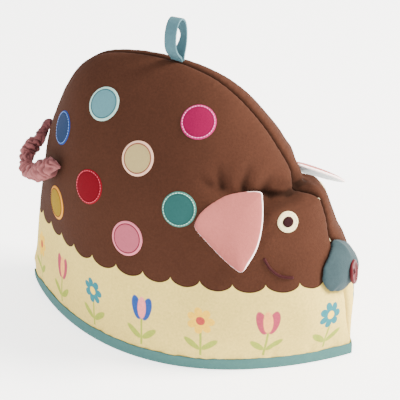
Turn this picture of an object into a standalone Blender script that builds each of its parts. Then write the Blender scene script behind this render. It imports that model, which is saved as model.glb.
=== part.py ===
"""A padded tea cosy in the shape of a round-backed animal, standing on its bound hem.

Two padded side panels meet in a sunk centre seam that runs from the tail over the
back to the nose.  A tuck at the neck sets the head off from the back.  X runs from the
tail to the nose, Y across the cosy, Z up, and the hem stands on z = 0.
"""

import bpy
import bmesh
import numpy as np
from math import cos, exp, pi, radians, sin
from mathutils import Matrix, Vector

MM = 0.001

# Cloth and clearances
WALL = 5.0 * MM             # outer cloth, wadding and backing together
TAPE = 1.2 * MM             # folded binding
GAP = 0.4 * MM              # air between pieces that are sewn to one another
SEAT_GAP = 0.65 * MM        # what is cut away under a piece, less where the cloth is folded
SEAM_GAP = 0.3 * MM         # air between the two panels
MERGE = 0.005 * MM          # points of a cut closer than this become one

# The body
HALF_WIDTH = 85.3 * MM      # from the centre seam to the side of the hem
NOSE_WIDENING = 0.12        # the head end is this much wider than the tail end
HEM_BOTTOM = 1.5 * MM       # lower edge of the panels
BINDING_HEIGHT = 9.5 * MM
SKIRT_TOP = 10.5 * MM       # the wall stands upright below this height
SEAM_SINK_WIDTH = 5.5 * MM   # how far the centre seam draws the panels in

# The centre seam seen from the side: x and height in mm, from the nose to the tail
SEAM_LINE = [
    (148.5, 10.5), (148.0, 26.5), (145.5, 51.5), (139.7, 77.7), (132.0, 99.8), (130.0, 103.6),
    (127.0, 117.1), (124.7, 124.4), (122.5, 130.4), (119.3, 135.8), (116.7, 137.0), (112.5, 137.2),
    (109.3, 139.8), (106.0, 141.8), (99.9, 146.9), (96.0, 151.2), (91.8, 156.8), (87.9, 164.0),
    (82.1, 172.4),
    (73.5, 183.5), (60.0, 197.0), (46.5, 208.0), (24.0, 220.5), (-4.6, 227.5), (-28.0, 229.3),
    (-54.0, 228.0), (-82.0, 221.5), (-99.5, 208.5), (-112.0, 188.5), (-127.5, 152.0), (-142.0, 84.3),
    (-149.2, 27.8), (-149.5, 10.5),
]

# How full the side is, by direction from the middle of the hem: 0 degrees is the nose
# end, 180 the tail end.  y falls from the half width as (1 - r ** power) ** roundness,
# with one roundness over the side and another near the centre seam, and that seam lies
# the last value, in mm, below the cloth on both sides of it.
FULLNESS = [
    # degrees, power, roundness of the side, roundness by the seam, seam sink
    (0, 2.0, 0.92, 0.92, 2.2), (14, 2.0, 0.60, 0.50, 2.2), (26, 2.0, 0.56, 0.50, 3.5),
    (34, 2.0, 0.57, 0.52, 3.6), (40, 2.0, 0.60, 0.62, 2.0), (46.4, 2.0, 0.62, 0.72, 2.4),
    (48.4, 2.0, 0.62, 0.60, 3.6), (51, 2.0, 0.62, 0.52, 7.2), (54, 2.1, 0.63, 0.60, 6.2),
    (58, 2.15, 0.64, 0.70, 2.4), (62, 2.2, 0.64, 0.64, 2.2), (75, 2.3, 0.64, 0.64, 2.2),
    (95, 2.4, 0.72, 0.72, 2.2), (118, 2.5, 0.70, 0.70, 2.2), (135, 2.4, 0.78, 0.78, 2.2),
    (155, 2.1, 0.88, 0.88, 2.2), (180, 2.0, 0.91, 0.91, 2.2),
]

# Creases, dents and puffs of a panel, in the side view: x, z of both ends, width, and
# the depth at each end, all in mm.  A depth below zero stands out.
FOLDS = [
    # x1, z1, x2, z2, width, depth1, depth2
    (103.0, 140.0, 90.0, 138.6, 5.4, 4.5, 8.0),       # neck tuck, from the seam
    (90.0, 138.6, 74.0, 141.4, 6.4, 8.0, 7.5),        # neck tuck, in front of the ear
    (74.0, 141.4, 54.0, 147.5, 7.0, 7.5, 3.5),        # neck tuck, under the ear
    (54.0, 147.5, 43.0, 147.5, 7.0, 3.5, 0.5),        # where the tuck runs out
    (95.0, 151.0, 62.0, 161.0, 8.0, -2.0, -1.0),      # back puffed over the tuck
    (112.0, 129.0, 92.0, 130.0, 7.0, -1.5, -3.2),     # brow below the tuck
    (60.0, 155.0, 53.0, 172.0, 6.5, 1.5, 0.2),        # gathers above the ear
    (73.0, 156.0, 74.0, 173.0, 6.5, 1.6, 0.2),
    (-62.0, 40.0, -95.0, 70.0, 14.0, 1.2, 0.8),       # slack cloth at the tail end
    (20.0, 30.0, 30.0, 75.0, 16.0, 1.0, 0.4),
    (118.0, 40.0, 126.0, 60.0, 9.0, 1.4, 0.6),        # hollow under the snout
]

# Where the rows and columns of a panel lie: from, to, steps
COLUMNS = [
    (-1.0, -0.997, 1), (-0.997, -0.985, 1), (-0.985, -0.95, 1), (-0.95, -0.85, 2),
    (-0.85, 0.15, 12), (0.15, 0.85, 21), (0.85, 0.95, 2), (0.95, 0.985, 1),
    (0.985, 0.997, 1), (0.997, 1.0, 1),
]
ROWS = [
    (0.0, 0.6, 6), (0.6, 0.94, 13), (0.94, 0.985, 2), (0.985, 0.997, 1), (0.997, 1.0, 1),
]

# The ears: side, root, tip and which way the flat side faces.  The far one lies flatter
EARS = [
    ("ear_near", -1, (71.0, -42.0, 143.0), (95.5, -94.0, 103.8), (0.153, -0.574, 0.805)),
    ("ear_far", 1, (71.0, 39.0, 137.6), (97.3, 91.7, 106.4), (0.153, 0.774, 0.786)),
]
EAR_OUTLINE = [
    # along the ear from its root, and across it, in mm
    (-2.5, 13.5), (6.0, 15.8), (16.0, 16.4), (29.4, 16.1), (42.6, 14.4), (53.0, 12.0),
    (63.4, 6.8), (71.6, 0.0), (65.5, -7.5), (58.1, -13.8), (42.2, -27.5), (33.0, -35.5),
    (28.5, -37.4), (23.5, -36.4), (15.6, -32.7), (8.4, -26.5), (1.4, -17.5), (-3.5, -8.0),
]
EAR_CROWN = 3.2 * MM        # half the thickness in the middle
EAR_CAMBER = 1.2 * MM       # how far the tip droops
EAR_LIFT = 2.5 * MM         # how far the edge over the back stands off
EAR_LIFT_FROM = 12.0 * MM
EAR_LIFT_WIDTH = 25.0 * MM
EAR_STEPS = 40
EAR_FLATNESS = 0.8          # below 1 the ear stays thick close to its edge

# The snout pad: a rounded triangle with its point up, and its button
SNOUT_CENTRE = Vector((131.5, 0.0, 76.5)) * MM
SNOUT_DEPTH = 16.5 * MM
SNOUT_FLATNESS = 0.85
SNOUT_RIDGE = 1.5 * MM      # the ridge that runs down from its point
SNOUT_RIDGE_WIDTH = 6.0 * MM
SNOUT_REACH = 20.0 * MM     # from its centre to its point
SNOUT_CONE_FROM = -6.0 * MM  # it is round below this height and a cone above the next
SNOUT_CONE_TO = 8.0 * MM
SNOUT_OUTLINE = [
    # degrees from straight up, distance from the centre in mm
    (0, 20.5), (25, 20.0), (55, 22.5), (85, 27.0), (112, 29.0), (138, 26.5), (162, 21.5), (180, 19.5),
]
BUTTON_CENTRE = Vector((149.3, 0.6, 73.8)) * MM
BUTTON_AXIS = Vector((0.96, 0.20, 0.13))
BUTTON_RADIUS = 10.0 * MM
BUTTON_THICKNESS = 3.0 * MM
BUTTON_HOLE = 1.0 * MM      # radius of its four holes
BUTTON_HOLE_RING = 2.0 * MM
BUTTON_SEAT_SLACK = (0.6 * MM, 2.0 * MM)    # at the back and at the front of its seat
BUTTON_SEAT_DEPTH = 20.0 * MM

# The hanging loop: a tape whose ends meet in the seam
LOOP_X = -9.0 * MM
LOOP_WIDTH = 10.0 * MM
LOOP_TAPE = 1.7 * MM
LOOP_LINE = [
    # y and height above the seam in mm, from one end to the other
    (-1.05, -2.0), (-2.2, 2.0), (-7.4, 6.5), (-11.2, 12.0), (-12.2, 19.0), (-10.8, 27.0),
    (-7.0, 33.0), (-1.5, 35.0), (3.6, 32.0), (6.2, 26.0), (6.8, 19.0), (5.6, 10.5),
    (2.6, 3.0), (1.05, -2.0),
]
LOOP_FOOT = 227.0 * MM

# The gathered tail, from its end in the seam to its loose point
TAIL_LINE = [
    # x, y, z and radius in mm
    (-128.75, 0.0, 147.6, 3.3), (-132.2, -0.4, 146.6, 3.5), (-135.6, -1.4, 140.5, 4.0),
    (-138.8, -3.0, 134.0, 4.4), (-142.7, -6.0, 128.0, 6.0), (-144.8, -10.0, 125.0, 6.3),
    (-145.0, -15.0, 121.5, 5.6), (-141.8, -21.0, 119.0, 5.0), (-138.0, -27.0, 116.3, 5.8),
    (-130.2, -33.0, 116.0, 6.2), (-119.8, -40.0, 119.8, 6.8), (-109.3, -46.5, 127.5, 7.9),
    (-100.0, -51.0, 134.0, 7.0), (-94.8, -51.5, 135.5, 4.2), (-90.0, -51.0, 135.2, 0.8),
]
TAIL_GATHERS = 13
TAIL_BUNCH = 0.13           # how much the cloth swells at each gather
TAIL_UNEVEN_TURNS = 5.3     # a slower swelling, so that the gathers differ
TAIL_UNEVEN = 0.05
TAIL_FADE = 8               # the gathers fade over the last eighth of the tail
TAIL_RINGS = 54

COLOURS = {
    # material: colour, roughness
    "printed_cloth": ((0.16, 0.065, 0.03), 0.9),
    "blue_cloth": ((0.19, 0.35, 0.40), 0.9),
    "ear_cloth": ((0.62, 0.34, 0.33), 0.9),
    "tail_cloth": ((0.35, 0.13, 0.15), 0.9),
    "button_red": ((0.22, 0.02, 0.04), 0.35),
}


def material(name):
    """A plain Principled material, shared by the pieces that use it."""
    if name in bpy.data.materials:
        return bpy.data.materials[name]
    colour, roughness = COLOURS[name]
    made = bpy.data.materials.new(name)
    made.use_nodes = True
    shader = made.node_tree.nodes["Principled BSDF"]
    shader.inputs["Base Color"].default_value = (*colour, 1)
    shader.inputs["Roughness"].default_value = roughness
    return made


def add_object(name, bm, material_name):
    """Turn a bmesh into a named object with its faces pointing out."""
    if bm.calc_volume(signed=True) < 0:
        bmesh.ops.reverse_faces(bm, faces=bm.faces)
    mesh = bpy.data.meshes.new(name)
    bm.to_mesh(mesh)
    bm.free()
    mesh.shade_smooth()
    mesh.set_sharp_from_angle(angle=radians(50))
    made = bpy.data.objects.new(name, mesh)
    bpy.context.scene.collection.objects.link(made)
    if material_name:
        mesh.materials.append(material(material_name))
    return made


def bake(made):
    """Replace an object's mesh by what its modifiers make of it."""
    bpy.context.view_layer.update()
    shown = made.evaluated_get(bpy.context.evaluated_depsgraph_get())
    mesh = bpy.data.meshes.new_from_object(shown)
    made.modifiers.clear()
    made.data = mesh


def cut(made, *cutters):
    """Take the cutters' volume away from an object."""
    for cutter in cutters:
        boolean = made.modifiers.new("cut", "BOOLEAN")
        boolean.operation = "DIFFERENCE"
        boolean.solver = "EXACT"
        boolean.object = cutter
    bake(made)
    bm = bmesh.new()
    bm.from_mesh(made.data)
    bmesh.ops.remove_doubles(bm, verts=bm.verts, dist=MERGE)
    bm.to_mesh(made.data)
    bm.free()


def smooth_step(t):
    """0 below 0, 1 above 1 and an even curve between."""
    t = np.clip(t, 0, 1)
    return t * t * (3 - 2 * t)


def smooth_line(points, steps, closed=False):
    """Points along a centripetal Catmull-Rom curve through the given points."""
    points = [np.array(p, float) for p in points]
    if closed:
        points = [points[-1]] + points + points[:2]
    else:
        points = [2 * points[0] - points[1]] + points + [2 * points[-1] - points[-2]]
    line = []
    for p0, p1, p2, p3 in zip(points, points[1:], points[2:], points[3:]):
        t1 = np.linalg.norm(p1 - p0) ** 0.5
        t2 = t1 + np.linalg.norm(p2 - p1) ** 0.5
        t3 = t2 + np.linalg.norm(p3 - p2) ** 0.5
        for t in np.linspace(t1, t2, steps, endpoint=False):
            a = p0 + (p1 - p0) * t / t1
            b = p1 + (p2 - p1) * (t - t1) / (t2 - t1)
            c = p2 + (p3 - p2) * (t - t2) / (t3 - t2)
            d = a + (b - a) * t / t2
            e = b + (c - b) * (t - t1) / (t3 - t1)
            line.append(d + (e - d) * (t - t1) / (t2 - t1))
    if not closed:
        line.append(points[-2])
    return np.array(line)


def even_steps(line, count, closed=False):
    """The same line with its points spread evenly along it."""
    if closed:
        line = np.vstack([line, line[:1]])
    along = np.concatenate([[0], np.cumsum(np.linalg.norm(np.diff(line, axis=0), axis=1))])
    at = np.linspace(0, along[-1], count + 1 if closed else count)
    spread = np.array([np.interp(at, along, line[:, k]) for k in range(line.shape[1])]).T
    return spread[:-1] if closed else spread


def spaced(table):
    """Values from a table of (from, to, steps)."""
    values = [table[0][0]]
    for start, end, steps in table:
        values += list(np.linspace(start, end, steps + 1)[1:])
    return np.array(values)


def body_points(offset):
    """The near panel's face as columns and rows of points, moved out by an offset."""
    seam = smooth_line(SEAM_LINE, 10) * MM - np.array([0, SKIRT_TOP])
    seam_angle = np.arctan2(seam[:, 1], seam[:, 0])
    seam_radius = np.hypot(seam[:, 0], seam[:, 1])

    # A half square of columns and rows is spread over a half disc, clear of its edge
    # where the last column and the last row meet
    a, b = np.meshgrid(spaced(COLUMNS), spaced(ROWS), indexing="ij")
    u = a * np.sqrt(1 - b * b / 2)
    v = b * np.sqrt(1 - a * a / 2)
    angle = np.arctan2(v, u)
    share = np.minimum((np.hypot(u, v) + np.maximum(np.abs(a), b)) / 2, 1)

    degrees, power, side_roundness, seam_roundness, seam_sink = np.array(FULLNESS).T
    p = np.interp(np.degrees(angle), degrees, power)
    e = np.interp(np.degrees(angle), degrees, side_roundness)
    by_seam = np.interp(np.degrees(angle), degrees, seam_roundness)
    e = e + (by_seam - e) * smooth_step((share - 0.72) / 0.22)
    sink = np.interp(np.degrees(angle), degrees, seam_sink) * MM
    depth = (HALF_WIDTH + offset) * (1 - share ** p) ** e
    radius = np.interp(angle, seam_angle, seam_radius) + offset
    height = radius * share * np.sin(angle)
    clear_of_hem = smooth_step(height / (20 * MM))
    radius = radius - sink * np.exp(-(depth / SEAM_SINK_WIDTH) ** 2) * clear_of_hem
    x = radius * share * np.cos(angle)
    y = -depth * (1 + NOSE_WIDENING * x / (150 * MM))
    z = SKIRT_TOP + radius * share * np.sin(angle)
    return np.stack([x, y, z], axis=-1)


def fold_depth(points):
    """How deep the folds press the panel's face in at each of its points.

    Where dents meet, the deeper one counts, and where puffs meet, the higher one.
    """
    side_view = points[..., [0, 2]] / MM
    dent = np.zeros(points.shape[:2])
    puff = np.zeros(points.shape[:2])
    for x1, z1, x2, z2, width, depth1, depth2 in FOLDS:
        start = np.array([x1, z1])
        run = np.array([x2, z2]) - start
        t = np.clip((side_view - start) @ run / (run @ run), 0, 1)
        away = np.linalg.norm(side_view - start - t[..., None] * run, axis=-1)
        push = (depth1 + (depth2 - depth1) * t) * MM * np.exp(-(away / width) ** 2)
        dent = np.maximum(dent, push)
        puff = np.minimum(puff, push)
    return (dent + puff) * smooth_step((points[..., 2] - SKIRT_TOP) / (25 * MM))


def panel_points(offset, seam_y=-SEAM_GAP / 2):
    """The near panel's face with its folds, its seam edge and its upright foot."""
    points = body_points(offset - fold_depth(body_points(0)))
    # The foot goes straight down from the lowest row
    foot = points[:, :1].copy()
    foot[..., 2] = HEM_BOTTOM
    points = np.concatenate([foot, points], axis=1)
    points[..., 1] = np.minimum(points[..., 1], seam_y)
    for edge in (points[0], points[-1], points[:, -1]):
        edge[:, 1] = seam_y
    return points


def place(verts, points):
    """Lay the vertices of a flat grid primitive on columns and rows of points."""
    columns, rows = points.shape[:2]
    for vert in verts:
        i = round((vert.co.x + 1) / 2 * (columns - 1))
        j = round((vert.co.y + 1) / 2 * (rows - 1))
        vert.co = Vector(points[i, j])


def shell(name, outer, inner, material_name):
    """A closed wall between an outer and an inner face with the same grid."""
    bm = bmesh.new()
    columns, rows = outer.shape[:2]
    bmesh.ops.create_grid(bm, x_segments=columns - 1, y_segments=rows - 1, size=1)
    copied = bmesh.ops.duplicate(bm, geom=bm.verts[:] + bm.edges[:] + bm.faces[:])["geom"]
    inside = {item for item in copied if isinstance(item, bmesh.types.BMVert)}
    place(inside, inner)
    place([vert for vert in bm.verts if vert not in inside], outer)
    bmesh.ops.reverse_faces(bm, faces=[item for item in copied if isinstance(item, bmesh.types.BMFace)])
    rim = [edge for edge in bm.edges if edge.is_boundary]
    bmesh.ops.bridge_loops(bm, edges=rim)
    # Fixed diagonals, so that the mirrored panel matches this one
    bmesh.ops.triangulate(bm, faces=bm.faces, quad_method="FIXED")
    return add_object(name, bm, material_name)


def mirror_y(made, name):
    """A mirrored copy of an object on the other side of the centre seam."""
    bm = bmesh.new()
    bm.from_mesh(made.data)
    bmesh.ops.scale(bm, vec=(1, -1, 1), verts=bm.verts)
    bmesh.ops.reverse_faces(bm, faces=bm.faces)
    return add_object(name, bm, made.data.materials[0].name if made.data.materials else None)


def make_panels():
    """The two padded side panels."""
    near = shell("panel_near", panel_points(0), panel_points(-WALL), "printed_cloth")
    return [near, mirror_y(near, "panel_far")]


def make_body_cutters():
    """The two halves of the body a little larger, to cut a seat into what is sewn on."""
    outer = panel_points(SEAT_GAP, seam_y=GAP)
    inner = panel_points(-5 * WALL, seam_y=GAP)
    near = shell("seat_near", outer, inner, None)
    cutters = [near, mirror_y(near, "seat_far")]
    for cutter in cutters:
        cutter.hide_render = True
        cutter.display_type = "WIRE"
    return cutters


def hem_ring(offset, inward):
    """The hem line all round, from the tail end, pushed out or drawn in evenly."""
    near = panel_points(offset)[:, 0, :2]
    kept = [0] + list(range(2, len(near) - 2)) + [len(near) - 1]
    near = near[kept]
    near[[0, -1], 1] = 0
    far = near[-2:0:-1] * [1, -1]
    ring = np.vstack([near, far])
    before = ring - np.roll(ring, 1, axis=0)
    after = np.roll(ring, -1, axis=0) - ring
    normals = []
    for edges in (before, after):
        edges = edges / np.linalg.norm(edges, axis=1, keepdims=True)
        normals.append(np.stack([edges[:, 1], -edges[:, 0]], axis=1))
    mitre = normals[0] + normals[1]
    mitre /= np.sum(mitre * normals[0], axis=1, keepdims=True)
    return ring + mitre * inward


def make_binding():
    """The folded tape that wraps the hem, as one ring with a U section."""
    sections = [
        # ring, height
        (hem_ring(0, GAP + TAPE), 0), (hem_ring(0, GAP + TAPE), BINDING_HEIGHT),
        (hem_ring(0, GAP), BINDING_HEIGHT), (hem_ring(0, GAP), TAPE),
        (hem_ring(-WALL, -GAP), TAPE), (hem_ring(-WALL, -GAP), BINDING_HEIGHT),
        (hem_ring(-WALL, -GAP - TAPE), BINDING_HEIGHT), (hem_ring(-WALL, -GAP - TAPE), 0),
    ]
    bm = bmesh.new()
    loops = [[bm.verts.new((x, y, height)) for x, y in ring] for ring, height in sections]
    for loop, beside in zip(loops, loops[1:] + loops[:1]):
        for index, vert in enumerate(loop):
            bm.faces.new((loop[index - 1], vert, beside[index], beside[index - 1]))
    return add_object("hem_binding", bm, "blue_cloth")


def make_pillow(outline, crown):
    """A pillow in the XY plane: a sphere primitive drawn to an outline of even steps."""
    bm = bmesh.new()
    count = len(outline)
    bmesh.ops.create_uvsphere(bm, u_segments=count, v_segments=8, radius=1)
    centre = outline.mean(axis=0)
    for vert in bm.verts:
        flat = Vector((vert.co.x, vert.co.y))
        turn = 0 if flat.length < 1e-6 else flat.angle_signed(Vector((1, 0)))
        edge = outline[round(turn / (2 * pi) * count) % count]
        share = min(flat.length, 1) ** EAR_FLATNESS
        spot = centre + (edge - centre) * share
        vert.co = Vector((spot[0], spot[1], crown * vert.co.z))
    return bm


def make_ears(cutters):
    """The two padded ears, each with its root seated in the neck tuck."""
    outline = even_steps(smooth_line(EAR_OUTLINE, 6, closed=True), EAR_STEPS, closed=True) * MM
    ears = []
    for (name, side, root, tip, face), cutter in zip(EARS, cutters):
        root = Vector(root) * MM
        tip = Vector(tip) * MM
        along = (tip - root).normalized()
        face = Vector(face)
        face = (face - along * face.dot(along)).normalized()
        across = along.cross(face) * side
        length = (tip - root).length
        bm = make_pillow(outline, EAR_CROWN)
        for vert in bm.verts:
            droop = EAR_CAMBER * (vert.co.x / length) ** 2
            lift = EAR_LIFT * (max(0, -vert.co.y - EAR_LIFT_FROM) / EAR_LIFT_WIDTH) ** 2
            up = vert.co.z + lift - droop
            vert.co = root + along * vert.co.x + across * vert.co.y + face * up
        ear = add_object(name, bm, "ear_cloth")
        cut(ear, cutter)
        ears.append(ear)
    return ears


def button_matrix():
    """The button's place: its own Z is the way it faces."""
    turn = BUTTON_AXIS.normalized().to_track_quat("Z", "Y").to_matrix().to_4x4()
    return Matrix.Translation(BUTTON_CENTRE) @ turn


def make_button():
    """A round sew-through button with a raised rim and four holes."""
    rim = BUTTON_RADIUS
    half = BUTTON_THICKNESS / 2
    profile = [
        # distance from the axis, height
        (0, -half), (rim * 0.82, -half), (rim * 0.96, -half * 0.6), (rim, 0), (rim * 0.96, half * 0.7),
        (rim * 0.86, half), (rim * 0.74, half * 0.75), (rim * 0.62, half * 0.2), (0, half * 0.2),
    ]
    bm = bmesh.new()
    verts = [bm.verts.new((x, 0, z)) for x, z in profile]
    edges = [bm.edges.new(pair) for pair in zip(verts, verts[1:])]
    bmesh.ops.spin(bm, geom=verts + edges, axis=(0, 0, 1), cent=(0, 0, 0), angle=2 * pi, steps=28)
    bmesh.ops.remove_doubles(bm, verts=bm.verts, dist=0.01 * MM)
    bmesh.ops.recalc_face_normals(bm, faces=bm.faces)
    button = add_object("nose_button", bm, "button_red")
    holes = bmesh.new()
    for quarter in range(4):
        turn = Matrix.Rotation(quarter * pi / 2 + pi / 4, 4, "Z")
        move = turn @ Matrix.Translation((BUTTON_HOLE_RING, 0, 0))
        bmesh.ops.create_cone(holes, cap_ends=True, segments=8, radius1=BUTTON_HOLE, radius2=BUTTON_HOLE,
                              depth=2 * BUTTON_THICKNESS, matrix=move)
    drill = add_object("button_drill", holes, None)
    cut(button, drill)
    bpy.data.objects.remove(drill)
    button.data.transform(button_matrix())
    return button


def make_snout(cutters):
    """The stuffed snout pad, with its back on both panels and a seat for the button."""
    turn, reach = np.array(SNOUT_OUTLINE).T
    bm = bmesh.new()
    bmesh.ops.create_uvsphere(bm, u_segments=28, v_segments=16, radius=1,
                              matrix=Matrix.Rotation(pi / 2, 4, "Y"))
    for vert in bm.verts:
        flat = Vector((vert.co.y, vert.co.z))
        degrees = 0 if flat.length < 1e-6 else abs(np.degrees(np.arctan2(flat.x, flat.y)))
        out = np.interp(degrees, turn, reach) * MM * flat.length ** SNOUT_FLATNESS
        side = flat.normalized() * out if flat.length > 1e-6 else flat
        ridge = SNOUT_RIDGE * exp(-abs(side.x) / SNOUT_RIDGE_WIDTH) * max(side.y, 0) / SNOUT_REACH
        front = SNOUT_DEPTH * vert.co.x
        if front > 0:
            # The upper half slopes to its point like a cone, the lower half is round
            cone = SNOUT_DEPTH * (1 - min(flat.length, 1) ** 1.5) ** 0.8 + ridge
            upper = smooth_step((side.y - SNOUT_CONE_FROM) / (SNOUT_CONE_TO - SNOUT_CONE_FROM))
            front += (cone - front) * upper
        vert.co = SNOUT_CENTRE + Vector((front, side.x, side.y))
    snout = add_object("snout", bm, "blue_cloth")
    seat = bmesh.new()
    back_slack, front_slack = BUTTON_SEAT_SLACK
    middle = (BUTTON_SEAT_DEPTH - BUTTON_THICKNESS) / 2 - GAP
    bmesh.ops.create_cone(seat, cap_ends=True, segments=28, radius1=BUTTON_RADIUS + back_slack,
                          radius2=BUTTON_RADIUS + front_slack, depth=BUTTON_SEAT_DEPTH,
                          matrix=button_matrix() @ Matrix.Translation((0, 0, middle)))
    press = add_object("button_seat", seat, None)
    cut(snout, press, *cutters)
    bpy.data.objects.remove(press)
    return snout


def make_loop(cutters):
    """The hanging loop, a flat tape bent over with both ends in the seam."""
    line = even_steps(smooth_line(LOOP_LINE, 8), 40) * MM
    bm = bmesh.new()
    start = LOOP_X - LOOP_WIDTH / 2
    verts = [bm.verts.new((start, y, LOOP_FOOT + z)) for y, z in line]
    edges = [bm.edges.new(pair) for pair in zip(verts, verts[1:])]
    for _ in range(2):
        grown = bmesh.ops.extrude_edge_only(bm, edges=edges)["geom"]
        moved = [item for item in grown if isinstance(item, bmesh.types.BMVert)]
        edges = [item for item in grown if isinstance(item, bmesh.types.BMEdge)]
        bmesh.ops.translate(bm, vec=(LOOP_WIDTH / 2, 0, 0), verts=moved)
    loop = add_object("hanging_loop", bm, "blue_cloth")
    tape = loop.modifiers.new("tape", "SOLIDIFY")
    tape.thickness = LOOP_TAPE
    tape.offset = 0
    cut(loop, *cutters)
    return loop


def make_tail():
    """The gathered tail: a tube whose cloth is bunched into soft rings."""
    line = even_steps(smooth_line(TAIL_LINE, 10), TAIL_RINGS)
    curve = bpy.data.curves.new("tail", "CURVE")
    curve.dimensions = "3D"
    curve.bevel_depth = MM
    curve.bevel_resolution = 3
    curve.use_fill_caps = True
    spline = curve.splines.new("POLY")
    spline.points.add(len(line) - 1)
    for index, (x, y, z, radius) in enumerate(line):
        along = index / (len(line) - 1)
        bunch = TAIL_BUNCH * cos(2 * pi * TAIL_GATHERS * along)
        bunch += TAIL_UNEVEN * sin(2 * pi * TAIL_UNEVEN_TURNS * along)
        fade = min(1, TAIL_FADE * (1 - along))
        spline.points[index].co = (x * MM, y * MM, z * MM, 1)
        spline.points[index].radius = radius * (1 + bunch * fade)
    tube = bpy.data.objects.new("tail", curve)
    bpy.context.scene.collection.objects.link(tube)
    bpy.context.view_layer.update()
    mesh = bpy.data.meshes.new_from_object(tube.evaluated_get(bpy.context.evaluated_depsgraph_get()))
    bpy.data.objects.remove(tube)
    bm = bmesh.new()
    bm.from_mesh(mesh)
    bmesh.ops.remove_doubles(bm, verts=bm.verts, dist=0.01 * MM)
    return add_object("tail", bm, "tail_cloth")


def stand_on_origin(pieces):
    """Move all the pieces so that the origin is under the middle of the whole."""
    corners = [vert.co for piece in pieces for vert in piece.data.vertices]
    low = Vector(map(min, zip(*corners)))
    high = Vector(map(max, zip(*corners)))
    shift = Vector((-(low.x + high.x) / 2, -(low.y + high.y) / 2, 0))
    for piece in pieces:
        piece.data.transform(Matrix.Translation(shift))


def main():
    for old in list(bpy.data.objects):
        bpy.data.objects.remove(old)
    cutters = make_body_cutters()
    pieces = make_panels()
    pieces.append(make_binding())
    pieces.append(make_loop(cutters))
    pieces += make_ears(cutters)
    pieces.append(make_snout(cutters))
    pieces.append(make_button())
    pieces.append(make_tail())
    for cutter in cutters:
        bpy.data.objects.remove(cutter)
    stand_on_origin(pieces)


main()
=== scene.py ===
import bpy
import numpy as np
from math import atan2, cos, pi, radians, sin
from mathutils import Matrix, Vector, noise
from mathutils.bvhtree import BVHTree


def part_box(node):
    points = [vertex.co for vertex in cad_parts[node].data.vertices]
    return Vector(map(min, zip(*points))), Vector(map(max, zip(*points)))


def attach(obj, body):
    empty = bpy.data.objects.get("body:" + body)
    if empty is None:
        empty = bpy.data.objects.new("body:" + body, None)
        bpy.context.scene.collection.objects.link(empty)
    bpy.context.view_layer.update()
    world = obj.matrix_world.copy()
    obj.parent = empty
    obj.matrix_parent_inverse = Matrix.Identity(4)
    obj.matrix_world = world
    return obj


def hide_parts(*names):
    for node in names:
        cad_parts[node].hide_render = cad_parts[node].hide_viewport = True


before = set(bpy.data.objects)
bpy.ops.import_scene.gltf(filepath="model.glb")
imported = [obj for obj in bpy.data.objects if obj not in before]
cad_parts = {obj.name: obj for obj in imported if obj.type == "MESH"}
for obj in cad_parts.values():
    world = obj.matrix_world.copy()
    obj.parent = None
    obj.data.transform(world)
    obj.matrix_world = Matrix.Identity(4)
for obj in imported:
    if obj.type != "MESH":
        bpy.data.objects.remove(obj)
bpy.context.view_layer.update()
mm = 0.001
mergeReach = 0.01 * mm      # points nearer than this are one

# Where the body's own x = 0 lies in the frame: its hem starts 149.5 mm behind it
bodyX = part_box("panel_near")[0].x + 149.5 * mm


def inBody(x, y, z):
    return Vector((bodyX + x * mm, y * mm, z * mm))


def onlySelect(*pieces):
    bpy.ops.object.select_all(action="DESELECT")
    for piece in pieces:
        piece.select_set(True)
    bpy.context.view_layer.objects.active = pieces[0]


def getPoints(piece, kind="co"):
    points = np.empty(len(piece.data.vertices) * 3)
    piece.data.vertices.foreach_get(kind, points)
    return points.reshape(-1, 3)


def setPoints(piece, points):
    piece.data.vertices.foreach_set("co", points.ravel())
    piece.data.update()


def applyModifier(piece, kind, **settings):
    modifier = piece.modifiers.new("made", kind)
    for key, value in settings.items():
        setattr(modifier, key, value)
    onlySelect(piece)
    bpy.ops.object.modifier_apply(modifier=modifier.name)


def subdivideSmooth(piece, levels):
    applyModifier(piece, "SUBSURF", levels=levels, render_levels=levels)


def roundEdges(piece, width, degrees):
    applyModifier(piece, "BEVEL", width=width, segments=2, limit_method="ANGLE", angle_limit=radians(degrees))


def settle(piece):
    # the place goes into the mesh, so that the object sits at the origin
    onlySelect(piece)
    bpy.ops.object.transform_apply(location=True, rotation=True, scale=True)


def shadeSmooth(piece, degrees=None):
    onlySelect(piece)
    if degrees is None:
        bpy.ops.object.shade_smooth()
    else:
        bpy.ops.object.shade_smooth_by_angle(angle=radians(degrees))


def softCopy(node, name):
    # a merged copy of a CAD node, in quads where they can be found again
    piece = bpy.data.objects.new(name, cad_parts[node].data.copy())
    bpy.context.scene.collection.objects.link(piece)
    piece.data.materials.clear()
    onlySelect(piece)
    bpy.ops.mesh.customdata_custom_splitnormals_clear()
    bpy.ops.object.mode_set(mode="EDIT")
    bpy.ops.mesh.select_all(action="SELECT")
    bpy.ops.mesh.remove_doubles(threshold=mergeReach)
    bpy.ops.mesh.mark_sharp(clear=True)
    bpy.ops.mesh.tris_convert_to_quads(face_threshold=radians(75), shape_threshold=radians(75))
    bpy.ops.object.mode_set(mode="OBJECT")
    return piece


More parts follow.
